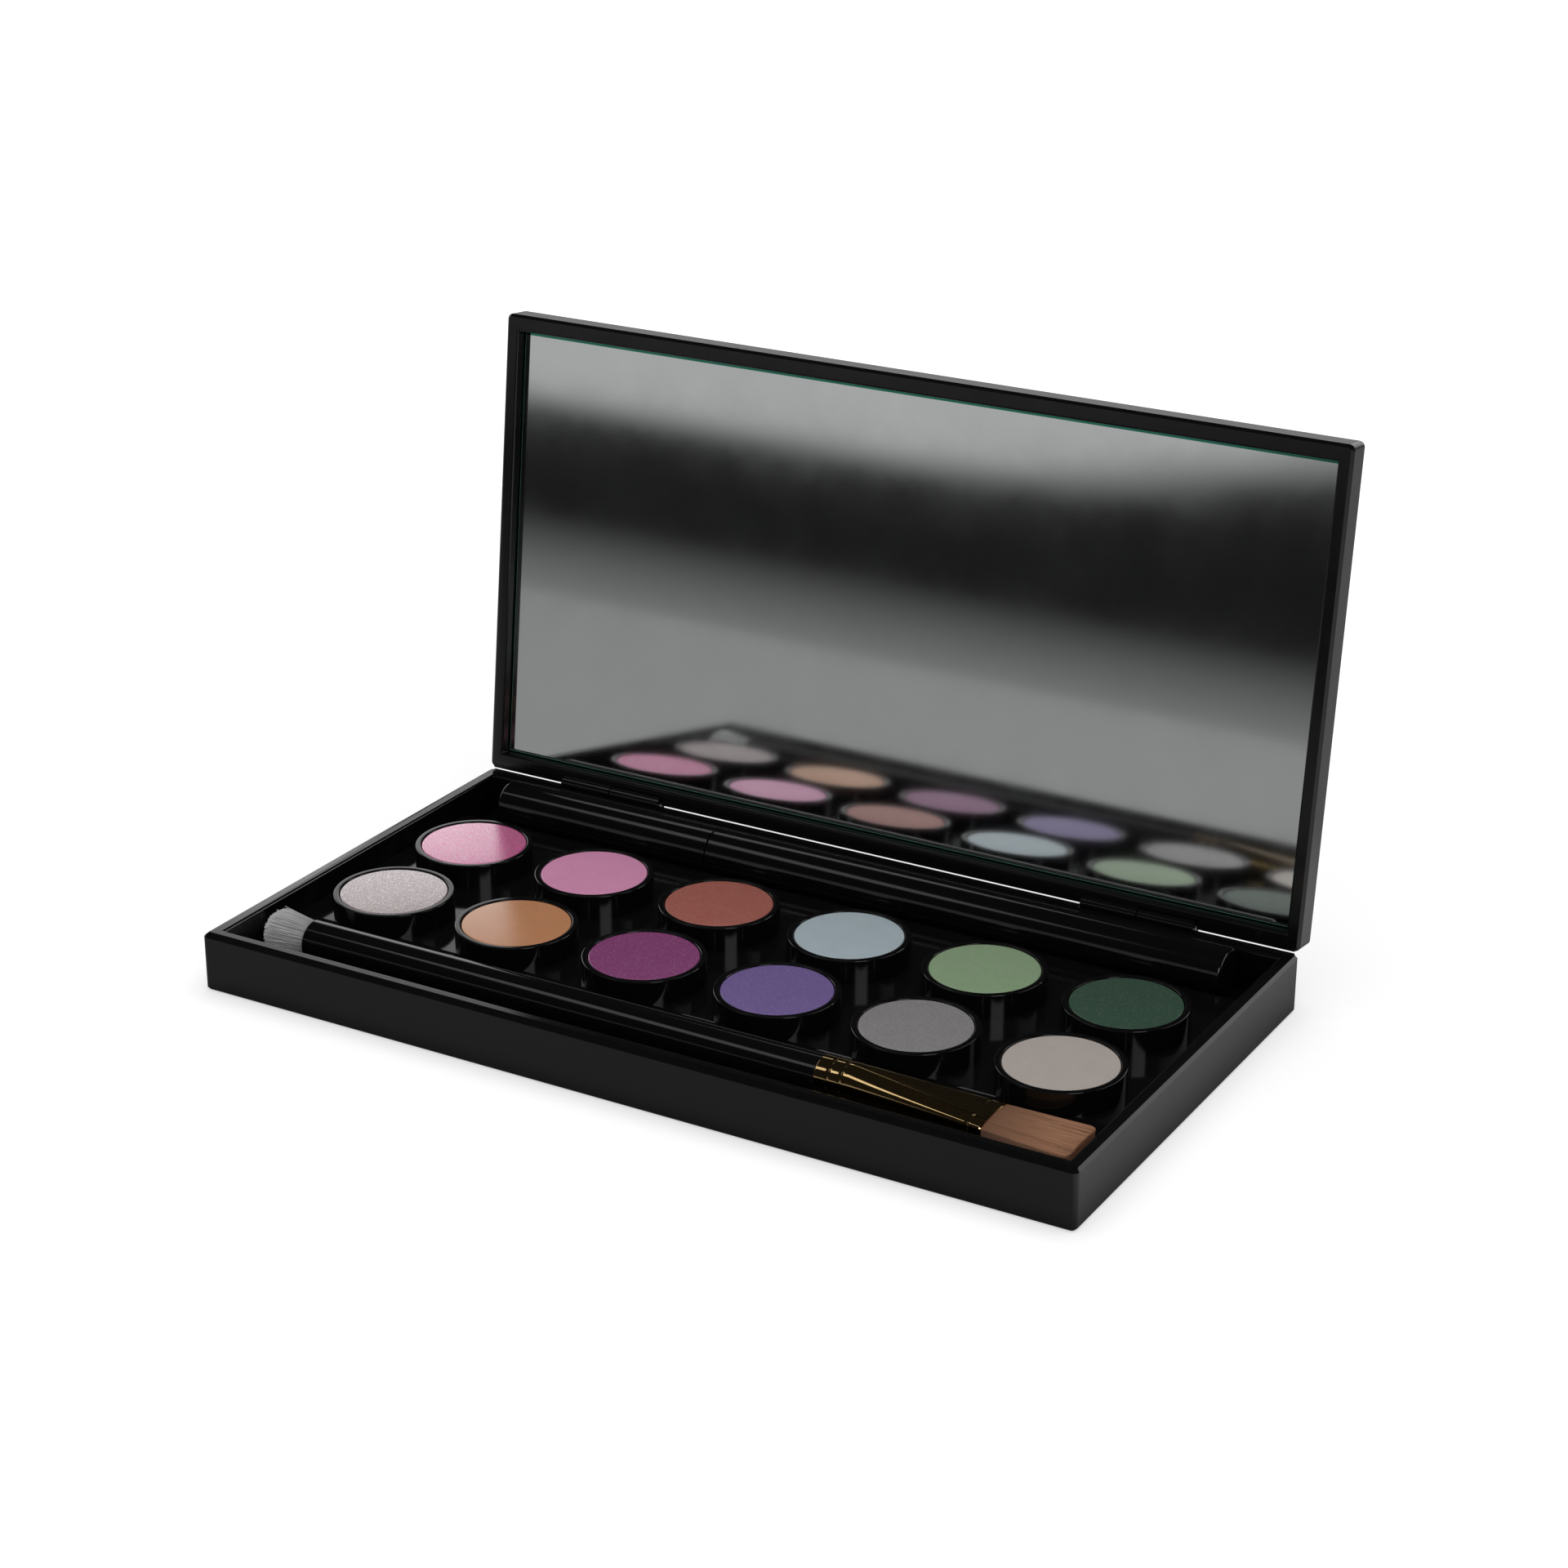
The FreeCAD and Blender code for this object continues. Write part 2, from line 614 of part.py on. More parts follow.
# Liner pen: cap on the left, barrel with its neck inside the cap, nib, reservoir and end plug
def make_liner():
    left = "-" + LINER_LENGTH + " / 2"
    seam = "(cap_length - " + LINER_LENGTH + " / 2)"
    right = LINER_LENGTH + " / 2"
    bore = "liner_radius - cap_wall"
    profiles = {
        "liner_cap": [
            (left, "0"), (left, "liner_radius - liner_break"),
            (left + " + liner_break", "liner_radius"), (seam, "liner_radius"), (seam, bore),
            (left + " + cap_end", bore), (left + " + cap_end", "0")],
        "liner_barrel": [
            (seam + " - neck_length", "nib_radius"), (seam + " - neck_length", NECK_RADIUS),
            (seam + " + seam_gap", NECK_RADIUS), (seam + " + seam_gap", "liner_radius"),
            (right + " - liner_break", "liner_radius"), (right, "liner_radius - liner_break"),
            (right, BARREL_BORE),
            (right + " - plug_length - reservoir_length", BARREL_BORE),
            (right + " - plug_length - reservoir_length", "nib_radius")],
        "liner_reservoir": [
            (right + " - plug_length - reservoir_length", "0"),
            (right + " - plug_length - reservoir_length", BARREL_BORE + " - reservoir_clearance"),
            (right + " - plug_length", BARREL_BORE + " - reservoir_clearance"),
            (right + " - plug_length", "0")],
        "liner_end_plug": [
            (right + " - plug_length", "0"), (right + " - plug_length", BARREL_BORE),
            (right, BARREL_BORE), (right, "0")],
    }
    for label, corners in profiles.items():
        body = new_body(label)
        half = new_sketch(body, "half", "XZ_Plane")
        draw_outline(half, corners)
        turn("Revolution", half, "H_Axis")
        move(body, "0", LINER_Y, LINER_Z)
    make_liner_nib(seam + " - neck_length")


def make_liner_nib(neck_end):
    """Felt rod in the neck, pared to a chisel tip inside the cap."""
    body = new_body("liner_nib")
    rod = new_sketch(body, "rod", "YZ_Plane", "-nib_length")
    draw_circle(rod, "nib_radius")
    pad(rod, "nib_length + nib_root")
    flatten(body, "0", "nib_radius", "-nib_length", "nib_tip_half", "(nib_radius * 2)")
    move(body, neck_end, LINER_Y, LINER_Z)


def write_parts():
    """Check every object, then write one file for each sub-part."""
    doc.recompute()
    failed = [item.Label for item in doc.Objects
              if "Invalid" in item.State or "Error" in item.State]
    for body in parts:
        if body.Shape.isNull() or not body.Shape.isValid():
            failed.append(body.Label)
    if failed:
        raise RuntimeError("not built: " + ", ".join(failed))
    os.makedirs("parts", exist_ok=True)
    for body in parts:
        body.Shape.exportStep("parts/%s.step" % body.Label)
        print(body.Label, len(body.Shape.Solids), round(body.Shape.Volume, 2))


make_base_shell()
make_insert_tray()
make_rows()
make_magnets("base_magnets", "base_height - magnet_cover - magnet_section")
make_lid_shell()
make_mirror()
open_lid(make_magnets("lid_magnets", LID_BOTTOM + " + magnet_cover"))
make_hinge_pins()
make_brush()
make_liner()
write_parts()
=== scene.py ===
import json
import math
import random

import bmesh
import bpy
from mathutils import Matrix, Vector


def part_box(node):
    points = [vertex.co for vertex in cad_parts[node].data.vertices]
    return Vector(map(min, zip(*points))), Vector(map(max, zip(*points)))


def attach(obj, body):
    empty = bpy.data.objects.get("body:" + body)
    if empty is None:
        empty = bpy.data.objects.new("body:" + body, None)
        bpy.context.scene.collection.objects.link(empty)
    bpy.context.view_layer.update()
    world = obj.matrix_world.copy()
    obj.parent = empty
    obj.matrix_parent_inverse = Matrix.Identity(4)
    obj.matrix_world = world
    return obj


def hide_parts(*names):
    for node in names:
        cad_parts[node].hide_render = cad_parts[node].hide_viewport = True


# Eyeshadow palette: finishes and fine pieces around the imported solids, in metres.

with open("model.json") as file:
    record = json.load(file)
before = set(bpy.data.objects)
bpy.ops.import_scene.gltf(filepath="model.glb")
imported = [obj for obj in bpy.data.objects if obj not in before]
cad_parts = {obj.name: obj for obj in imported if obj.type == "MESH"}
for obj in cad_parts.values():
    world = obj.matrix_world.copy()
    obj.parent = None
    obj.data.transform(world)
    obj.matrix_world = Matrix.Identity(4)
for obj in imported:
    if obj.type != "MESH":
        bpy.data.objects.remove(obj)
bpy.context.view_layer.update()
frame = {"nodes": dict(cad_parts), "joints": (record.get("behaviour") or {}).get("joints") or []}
MM = 0.001

# Places and sizes of the solids
CASE_LOW, CASE_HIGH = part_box("base_shell")
RIM_TOP = 12.0 * MM
LID_SEAM = 12.1 * MM
RIM_BREAK = 0.6 * MM
RIM_INSIDE_X = 92.6 * MM
RIM_INSIDE_Y = 47.1 * MM
REAR_START = 48.7 * MM
REAR_REACH = 4 * MM
POT_COLUMNS = 6
POT_RADIUS = (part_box("pots_front_row")[1].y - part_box("pots_front_row")[0].y) / 2
POT_WALL = 1.2 * MM
POT_FLOOR = 1.2 * MM
HINGE_AXIS = Vector(frame["joints"][0]["pos_m"])
LID_ANGLE = math.radians(frame["joints"][0]["range_deg"][1])
LID_UP = Vector((0, math.sin(LID_ANGLE - math.pi / 2), math.cos(LID_ANGLE - math.pi / 2)))
LID_OPENED = (Matrix.Translation(HINGE_AXIS) @ Matrix.Rotation(-LID_ANGLE, 4, "X")
              @ Matrix.Translation(-HINGE_AXIS))
FERRULE_ROUND_LENGTH = 6.4 * MM
FERRULE_HALF_DEPTH = 2.08 * MM
BRUSH_AXIS = sum(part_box("brush_handle"), Vector()) / 2
LINER_AXIS = sum(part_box("liner_barrel"), Vector()) / 2
RIGHT = Vector((1, 0, 0))
UP = Vector((0, 0, 1))

# Limits for the meshes
SAME_PLACE = 0.02 * MM
WELD = 0.001 * MM
SOLID_WELD = 0.002 * MM
FLAT_ANGLE = math.radians(2)
SHARP_ANGLE = 0.6
SMOOTH_ANGLE = math.radians(35)

# Fine details that only the finished look has
EDGE_ROUND = 0.25 * MM
OUTER_ROUND = 0.28 * MM
INNER_ROUND = 0.2 * MM
FRONT_CROWN = 1.6 * MM
MIRROR_BREAK = 0.2 * MM
EDGE_TINT = 0.75 * MM
EDGE_TINT_FADE = 0.15 * MM
REAR_BREAK = 0.1 * MM
POWDER_ROUND = 0.25 * MM
POWDER_DOME = 0.08 * MM
BEAD_PLACES = (2.6 * MM, 5.2 * MM, 32.0 * MM)
BEAD_DEPTH = 0.12 * MM
BEAD_HALF = 0.22 * MM
MOUTH_SQUARENESS = 1.6
FERRULE_ROWS, FERRULE_COLUMNS = 240, 96
FERRULE_WALL = 0.3 * MM
FERRULE_RECESS = 0.4 * MM
HAIR_SET_IN = 0.3 * MM
HAIR_TAPER = 0.3
FLAT_HAIRS, FLAT_HAIR_RADIUS, FLAT_SEED = 2600, 0.11 * MM, 11
TUFT_HAIRS, TUFT_HAIR_RADIUS, TUFT_SEED = 2400, 0.13 * MM, 5
PEN_END_ROUND = 0.8 * MM
PEN_END_REACH = 0.1 * MM
SEAM_ROUND = 0.12 * MM
SEAM_GAP = 0.25 * MM
SEAM_REACH = 0.5 * MM
CAP_WALL = 0.9 * MM
CAP_END = 1.5 * MM
NECK_STEP = 1.0 * MM
NIB_RADIUS = 1.5 * MM
NIB_COLLAR = 1.0 * MM
NIB_POINT, NIB_POINT_RADIUS = 0.4 * MM, 0.35 * MM

# Colours of the finishes
BLACK = (0.0022, 0.0022, 0.0024)
SILVER, HAZY_SILVER = (0.86, 0.88, 0.88), (0.82, 0.84, 0.84)
EDGE_GREEN = (0.03, 0.22, 0.15)
BROWN_ROOT, BROWN_TIP = (0.18, 0.084, 0.044), (0.44, 0.225, 0.120)
GREY_ROOT, GREY_TIP = (0.27, 0.27, 0.27), (0.64, 0.64, 0.64)
PEARL = (0.80, 0.74, 0.75)

# Powders from left to right: red, green, blue, share of shimmer, flake size in millimetres, roughness
POWDERS = {
    "rear": ((0.54, 0.040, 0.225, 1.0, 0.09, 0.04), (0.50, 0.21, 0.345, 0.2, 0.13, 0.14),
             (0.255, 0.081, 0.062, 0.2, 0.13, 0.14), (0.30, 0.36, 0.39, 0.3, 0.13, 0.13),
             (0.18, 0.262, 0.152, 0.3, 0.13, 0.13), (0.028, 0.056, 0.038, 0.1, 0.13, 0.16)),
    "front": ((0.18, 0.118, 0.118, 0.9, 0.16, 0.05), (0.365, 0.166, 0.080, 0.15, 0.13, 0.06),
              (0.165, 0.037, 0.120, 0.2, 0.13, 0.14), (0.117, 0.079, 0.213, 0.2, 0.13, 0.14),
              (0.172, 0.166, 0.166, 0.3, 0.13, 0.13), (0.342, 0.302, 0.274, 0.3, 0.13, 0.13)),
}
POWDER_IOR, SHIMMER_IOR = 1.5, 2.2


# Node helpers
def feed(tree, socket, value):
    """Link a socket to an input, or set the input's own value."""
    if isinstance(value, bpy.types.NodeSocket):
        tree.links.new(value, socket)
    else:
        socket.default_value = value


def add(tree, kind, inputs, **settings):
    """New shader node with its settings and inputs."""
    node = tree.nodes.new("ShaderNode" + kind)
    for key, value in settings.items():
        setattr(node, key, value)
    for key, value in inputs.items():
        feed(tree, node.inputs[key], value)
    return node


def place(tree, stretch=(1, 1, 1)):
    """Object coordinates, stretched where a pattern runs one way."""
    spot = add(tree, "TexCoord", {}).outputs["Object"]
    return add(tree, "Mapping", {"Vector": spot, "Scale": stretch}).outputs["Vector"]


def noise(tree, size, detail=5.0, stretch=(1, 1, 1)):
    """Cloudy pattern with features of about the given size."""
    inputs = {"Vector": place(tree, stretch), "Scale": 1 / size, "Detail": detail, "Roughness": 0.6}
    return add(tree, "TexNoise", inputs).outputs["Fac"]


def spread(tree, value, low, high, start=0.3, end=0.7):
    """The value's middle range, set out between two limits."""
    inputs = {"Value": value, "From Min": start, "From Max": end, "To Min": low, "To Max": high}
    return add(tree, "MapRange", inputs).outputs["Result"]


def mixed(tree, share, first, second):
    inputs = {"Fac": share, "Color1": first, "Color2": second}
    return add(tree, "MixRGB", inputs).outputs["Color"]


def maths(tree, operation, *values):
    return add(tree, "Math", dict(enumerate(values)), operation=operation).outputs["Value"]


def rgba(colour):
    return (*colour, 1.0)


def shade(colour, amount):
    return rgba(part * amount for part in colour)


def blank(name):
    """Empty material with its node tree and surface shader."""
    material = bpy.data.materials.new(name)
    material.use_nodes = True
    return material, material.node_tree, material.node_tree.nodes["Principled BSDF"]


def bumped(tree, surface, height, depth):
    """Fine relief on a surface."""
    inputs = {"Height": height, "Distance": depth, "Strength": 1.0}
    feed(tree, surface.inputs["Normal"], add(tree, "Bump", inputs).outputs["Normal"])


# Materials
def plastic(name, colour, rough, texture, depth, wear=0.25):
    """Moulded plastic: a fine surface texture, cloudy gloss and a little handling wear."""
    material, tree, surface = blank(name)
    cloud = noise(tree, 9 * MM)
    rub = noise(tree, 1.6 * MM, stretch=(0.15, 1, 1))
    feed(tree, surface.inputs["Base Color"],
         mixed(tree, spread(tree, rub, 0, wear, 0.5, 0.8), rgba(colour), shade(colour, 2.2)))
    feed(tree, surface.inputs["Roughness"], spread(tree, cloud, rough * 0.85, rough * 1.2))
    bumped(tree, surface, noise(tree, texture, detail=2.0), depth)
    return material


def metal(name, colour, rough, stretch):
    """Drawn or polished metal with fine streaks."""
    material, tree, surface = blank(name)
    streak = noise(tree, 0.9 * MM, stretch=stretch)
    feed(tree, surface.inputs["Metallic"], 1.0)
    feed(tree, surface.inputs["Base Color"],
         mixed(tree, spread(tree, streak, 0, 1), rgba(colour), shade(colour, 0.75)))
    feed(tree, surface.inputs["Roughness"], spread(tree, streak, rough * 0.7, rough * 1.4))
    bumped(tree, surface, streak, 0.0006 * MM)
    return material


def powder(name, colour, shimmer, flake_size, rough):
    """Pressed powder: fine grain, a soft press mark, a pearly surface and flakes that catch the light."""
    material, tree, surface = blank(name)
    fine = noise(tree, 0.12 * MM, detail=3.0)
    soft = noise(tree, 3.5 * MM)
    flake = add(tree, "TexVoronoi", {"Vector": place(tree), "Scale": 1 / flake_size})
    glint = add(tree, "SeparateColor", {"Color": flake.outputs["Color"]}).outputs["Red"]
    flakes = spread(tree, glint, 0, shimmer, 1 - 0.5 * shimmer, 1.0)
    body = mixed(tree, spread(tree, soft, 0, 1), shade(colour, 0.97), shade(colour, 1.04))
    grainy = mixed(tree, spread(tree, fine, 0, 0.3), body, shade(colour, 0.72))
    feed(tree, surface.inputs["Base Color"], mixed(tree, flakes, grainy, rgba(PEARL)))
    feed(tree, surface.inputs["Metallic"], flakes)
    feed(tree, surface.inputs["Roughness"], spread(tree, fine, rough, rough + 0.10))
    feed(tree, surface.inputs["IOR"], POWDER_IOR + SHIMMER_IOR * shimmer)
    bumped(tree, surface, maths(tree, "MULTIPLY_ADD", glint, shimmer, fine), 0.008 * MM)
    return material


def hair(name, root, tip, low, high):
    """Hair that changes from its root's colour to its tip's, with streaks along it."""
    material, tree, surface = blank(name)
    along = add(tree, "SeparateXYZ", {"Vector": place(tree)}).outputs["X"]
    streak = noise(tree, 0.25 * MM, stretch=(0.03, 1, 1))
    body = mixed(tree, spread(tree, along, 0, 1, low, high), rgba(root), rgba(tip))
    feed(tree, surface.inputs["Base Color"],
         mixed(tree, spread(tree, streak, 0, 0.4), body, shade(root, 0.5)))
    feed(tree, surface.inputs["Roughness"], spread(tree, streak, 0.4, 0.6))
    bumped(tree, surface, streak, 0.02 * MM)
    return material


def mirror_silver(top):
    """Silvered glass with a faint haze, green where its top edge shows through."""
    material, tree, surface = blank("mirror_silver")
    haze = noise(tree, 14 * MM)
    silver = mixed(tree, spread(tree, haze, 0, 1), rgba(SILVER), rgba(HAZY_SILVER))
    up = add(tree, "VectorMath", {0: place(tree), 1: LID_UP}, operation="DOT_PRODUCT").outputs["Value"]
    edge = spread(tree, up, 0, 1, top - EDGE_TINT, top - EDGE_TINT + EDGE_TINT_FADE)
    feed(tree, surface.inputs["Metallic"], 1.0)
    feed(tree, surface.inputs["Base Color"], mixed(tree, edge, silver, rgba(EDGE_GREEN)))
    feed(tree, surface.inputs["Roughness"], spread(tree, haze, 0.055, 0.075))
    return material


# Finishes: colour, roughness, then the texture's size and depth, or the stretch of the streaks
CASE = plastic("case_black", BLACK, 0.17, 0.28 * MM, 0.004 * MM)
TRAY = plastic("tray_black", BLACK, 0.09, 0.40 * MM, 0.002 * MM)
POT = plastic("pot_black", BLACK, 0.11, 0.5 * MM, 0.0015 * MM)
LACQUER = plastic("handle_black", BLACK, 0.09, 0.9 * MM, 0.001 * MM, 0.1)
PEN = plastic("pen_black", BLACK, 0.10, 0.8 * MM, 0.001 * MM, 0.1)
FILM = plastic("film_white", (0.6, 0.58, 0.54), 0.5, 0.6 * MM, 0.01 * MM)
FELT = plastic("felt_black", (0.02, 0.02, 0.022), 0.9, 0.15 * MM, 0.05 * MM)
GLASS_EDGE = plastic("glass_edge", (0.10, 0.30, 0.22), 0.15, 0.5 * MM, 0.003 * MM)
STEEL = metal("pin_steel", (0.50, 0.50, 0.51), 0.30, (0.05, 1, 1))
NICKEL = metal("magnet_nickel", (0.55, 0.54, 0.50), 0.30, (1, 1, 0.2))
GOLD = metal("ferrule_gold", (0.78, 0.54, 0.25), 0.05, (1, 0.15, 0.15))


# Mesh helpers
def finish_piece(name, bm, body, materials, slot, *nodes):
    """Object from a mesh, on its body, in place of the solids it stands for."""
    mesh = bpy.data.meshes.new(name)
    bmesh.ops.recalc_face_normals(bm, faces=bm.faces)
    bm.to_mesh(mesh)
    bm.free()
    for material in materials:
        mesh.materials.append(material)
    mesh.polygons.foreach_set("use_smooth", [True] * len(mesh.polygons))
    mesh.set_sharp_from_angle(angle=SMOOTH_ANGLE)
    piece = bpy.data.objects.new(name, mesh)
    bpy.context.scene.collection.objects.link(piece)
    piece.modifiers.new("flat_faces", "WEIGHTED_NORMAL").keep_sharp = True
    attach(piece, body)
    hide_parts(*nodes)


def turn(bm, profile, start, axis, steps=72):
    """Half section (along, radius), turned about an axis through a point."""
    side = RIGHT if axis.z else UP
    points = [bm.verts.new(start + axis * along + side * radius) for along, radius in profile]
    edges = [bm.edges.new(pair) for pair in zip(points, points[1:])]
    bmesh.ops.spin(bm, geom=points + edges, cent=start, axis=axis, angle=math.tau, steps=steps,
                   use_merge=True)
    bmesh.ops.remove_doubles(bm, verts=bm.verts, dist=WELD)


def soften(bm, offset, chosen, segments=3):
    """Round the sharp edges whose middle passes a test."""
    edges = [edge for edge in bm.edges if edge.is_manifold and edge.calc_face_angle() > SHARP_ANGLE
             and chosen((edge.verts[0].co + edge.verts[1].co) / 2)]
    bmesh.ops.bevel(bm, geom=edges, offset=offset, segments=segments, affect="EDGES", profile=0.5,
                    material=-1, clamp_overlap=True)


def make_strands(ends, radius, bundle=60):
    """Tapered hairs between pairs of root and tip, made a bundle at a time."""
    whole = bmesh.new()
    for first in range(0, len(ends), bundle):
        bm = bmesh.new()
        for root, tip in ends[first:first + bundle]:
            turn_to = (tip - root).to_track_quat("Z", "Y").to_matrix().to_4x4()
            spot = Matrix.Translation((root + tip) / 2) @ turn_to
            bmesh.ops.create_cone(bm, cap_ends=True, cap_tris=True, segments=3, radius1=radius,
                                  radius2=radius * HAIR_TAPER, depth=(tip - root).length, matrix=spot)
        mesh = bpy.data.meshes.new("bundle")
        bm.to_mesh(mesh)
        bm.free()
        whole.from_mesh(mesh)
        bpy.data.meshes.remove(mesh)
    return whole


# Pots and powders
def pot_places(row):
    """Centres of one row's pots on the deck, from the left."""
    low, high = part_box("pots_%s_row" % row)
    first = low.x + POT_RADIUS
    pitch = (high.x - low.x - 2 * POT_RADIUS) / (POT_COLUMNS - 1)
    return [Vector((first + column * pitch, (low.y + high.y) / 2, low.z)) for column in range(POT_COLUMNS)]


def make_pots(row):
    low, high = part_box("pots_%s_row" % row)
    height = high.z - low.z
    bore = POT_RADIUS - POT_WALL
    bm = bmesh.new()
    for spot in pot_places(row):
        turn(bm, [(0, 0), (0, POT_RADIUS), (height, POT_RADIUS), (height, bore), (POT_FLOOR, bore),
                  (POT_FLOOR, 0)], spot, UP)
    soften(bm, EDGE_ROUND, lambda middle: middle.z > high.z - EDGE_ROUND)
    finish_piece("pots_" + row, bm, "base", [POT], "pot_plastic", "pots_%s_row" % row)


def make_powders(row):
    """One row's powders, each a piece of its own with its own colour."""
    low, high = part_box("powders_%s_row" % row)
    radius = (high.y - low.y) / 2
    top = high.z - low.z
    shoulder = (top + POWDER_DOME * 0.7, radius * 0.6)
    for number, (spot, recipe) in enumerate(zip(pot_places(row), POWDERS[row]), start=1):
        name = "powder_%s_%d" % (row, number)
        centre = Vector((spot.x, spot.y, low.z))
        bm = bmesh.new()
        turn(bm, [(0, 0), (0, radius), (top, radius), shoulder, (top + POWDER_DOME, 0)], centre, UP)
        soften(bm, POWDER_ROUND, lambda middle: middle.z > low.z + top / 2)
        *colour, shimmer, flake, rough = recipe
        pressed = powder(name, colour, shimmer, flake * MM, rough)
        finish_piece(name, bm, "base", [pressed], "pressed_powder", "powders_%s_row" % row)


# Case, drawn closed and its lid swung open
def at_rear(middle):
    """Whether a place is along the hinged edge, which keeps its sharp edges."""
    return middle.y > REAR_START and abs(middle.z - HINGE_AXIS.z) < REAR_REACH


def in_rim(middle):
    """Whether a place is on the inner side of a shell's walls."""
    return abs(middle.x) < RIM_INSIDE_X and abs(middle.y) < RIM_INSIDE_Y


def near(first, second):
    return abs(first - second) < SAME_PLACE


def close_rear_edge(bm, seam, inward):
    """Nearly square rear edge at the seam, so that the slit under the open lid stays thin."""
    rear = -CASE_LOW.y
    for vertex in bm.verts:
        spot = vertex.co
        if near(spot.y, rear - RIM_BREAK) and near(spot.z, seam):
            spot.y = rear - REAR_BREAK
        elif near(spot.y, rear) and near(spot.z, seam + inward * RIM_BREAK):
            spot.z = seam + inward * REAR_BREAK


def crown_front_edge(bm):
    """Front rim that falls away to the front in a soft crown."""
    for vertex in bm.verts:
        if near(vertex.co.z, RIM_TOP):
            vertex.co.y = max(vertex.co.y, CASE_LOW.y + FRONT_CROWN)


def make_shell(name, node, body, opened):
    """Copy of a shell's solid with a mould's small rounds, its seam finer at the rear."""
    bm = bmesh.new()
    bm.from_mesh(frame["nodes"][node].data)
    bmesh.ops.remove_doubles(bm, verts=bm.verts, dist=SOLID_WELD)
    bmesh.ops.dissolve_limit(bm, angle_limit=FLAT_ANGLE, verts=bm.verts, edges=bm.edges)
    bmesh.ops.transform(bm, matrix=opened.inverted(), verts=bm.verts)
    if node == "base_shell":
        close_rear_edge(bm, RIM_TOP, -1)
        crown_front_edge(bm)
    else:
        close_rear_edge(bm, LID_SEAM, 1)
    soften(bm, OUTER_ROUND, lambda middle: not in_rim(middle) and not at_rear(middle))
    soften(bm, INNER_ROUND, in_rim)
    bmesh.ops.transform(bm, matrix=opened, verts=bm.verts)
    finish_piece(name, bm, body, [CASE], "case_plastic", node)


def make_mirror():
    """Glass with a silvered face and a narrow break round it."""
    shut = LID_OPENED.inverted()
    corners = [shut @ vertex.co for vertex in frame["nodes"]["mirror_glass"].data.vertices]
    low = Vector([min(corner[axis] for corner in corners) for axis in range(3)])
    high = Vector([max(corner[axis] for corner in corners) for axis in range(3)])
    bm = bmesh.new()
    box = Matrix.Translation((low + high) / 2) @ Matrix.Diagonal((*(high - low), 1))
    bmesh.ops.create_cube(bm, size=1, matrix=box)
    soften(bm, MIRROR_BREAK, lambda middle: near(middle.z, low.z), segments=2)
    for face in bm.faces:
        face.material_index = 0 if near(face.calc_center_median().z, low.z) else 1
    bmesh.ops.transform(bm, matrix=LID_OPENED, verts=bm.verts)
    silver = mirror_silver(max(LID_UP.dot(vertex.co) for vertex in bm.verts))
    finish_piece("mirror", bm, "lid", [silver, GLASS_EDGE], "mirror_glass", "mirror_glass")


# Brush
def make_handle():
    low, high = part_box("brush_handle")
    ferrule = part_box("brush_ferrule")[0].x
    radius = (high.z - low.z) / 2
    start = Vector((low.x, BRUSH_AXIS.y, BRUSH_AXIS.z))
    length = ferrule - low.x
    bm = bmesh.new()
    turn(bm, [(0, 0), (0, radius), (length, radius), (length, 0)], start, RIGHT)
    soften(bm, EDGE_ROUND, lambda middle: True)
    finish_piece("brush_stick", bm, "brush", [LACQUER], "handle_lacquer", "brush_handle")


def ferrule_section(along, length, round_radius, half_width):
    """Half width, half depth and squareness of the ferrule at a place along it, with its pressed beads."""
    share = min(max((along - FERRULE_ROUND_LENGTH) / (length - FERRULE_ROUND_LENGTH), 0), 1)
    press = sum(BEAD_DEPTH * math.exp(-((along - bead) / BEAD_HALF) ** 2) for bead in BEAD_PLACES)
    wide = round_radius + (half_width - round_radius) * share
    deep = round_radius + (FERRULE_HALF_DEPTH - round_radius) * share
    return wide - press, deep - press, 2 + MOUTH_SQUARENESS * share


def make_ferrule():
    """Sleeve from a grid that is rolled up, with its two ends sunk in."""
    low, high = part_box("brush_ferrule")
    length = high.x - low.x
    round_radius = (high.z - low.z) / 2
    half_width = (high.y - low.y) / 2
    bm = bmesh.new()
    bmesh.ops.create_grid(bm, x_segments=FERRULE_ROWS, y_segments=FERRULE_COLUMNS, size=0.5)
    for vertex in bm.verts:
        along = (vertex.co.x + 0.5) * length
        angle = (vertex.co.y + 0.5) * math.tau
        wide, deep, power = ferrule_section(along, length, round_radius, half_width)
        across, up = (math.copysign(abs(part) ** (2 / power), part)
                      for part in (math.cos(angle), math.sin(angle)))
        vertex.co = (low.x + along, BRUSH_AXIS.y + wide * across, BRUSH_AXIS.z + deep * up)
    bmesh.ops.remove_doubles(bm, verts=bm.verts, dist=WELD)
    rims = [edge for edge in bm.edges if edge.is_boundary]
    bmesh.ops.holes_fill(bm, edges=rims, sides=0)
    ends = [face for face in bm.faces if len(face.verts) > 4]
    bmesh.ops.inset_region(bm, faces=ends, thickness=FERRULE_WALL, depth=-FERRULE_RECESS)
    finish_piece("brush_sleeve", bm, "brush", [GOLD], "ferrule_brass", "brush_ferrule")


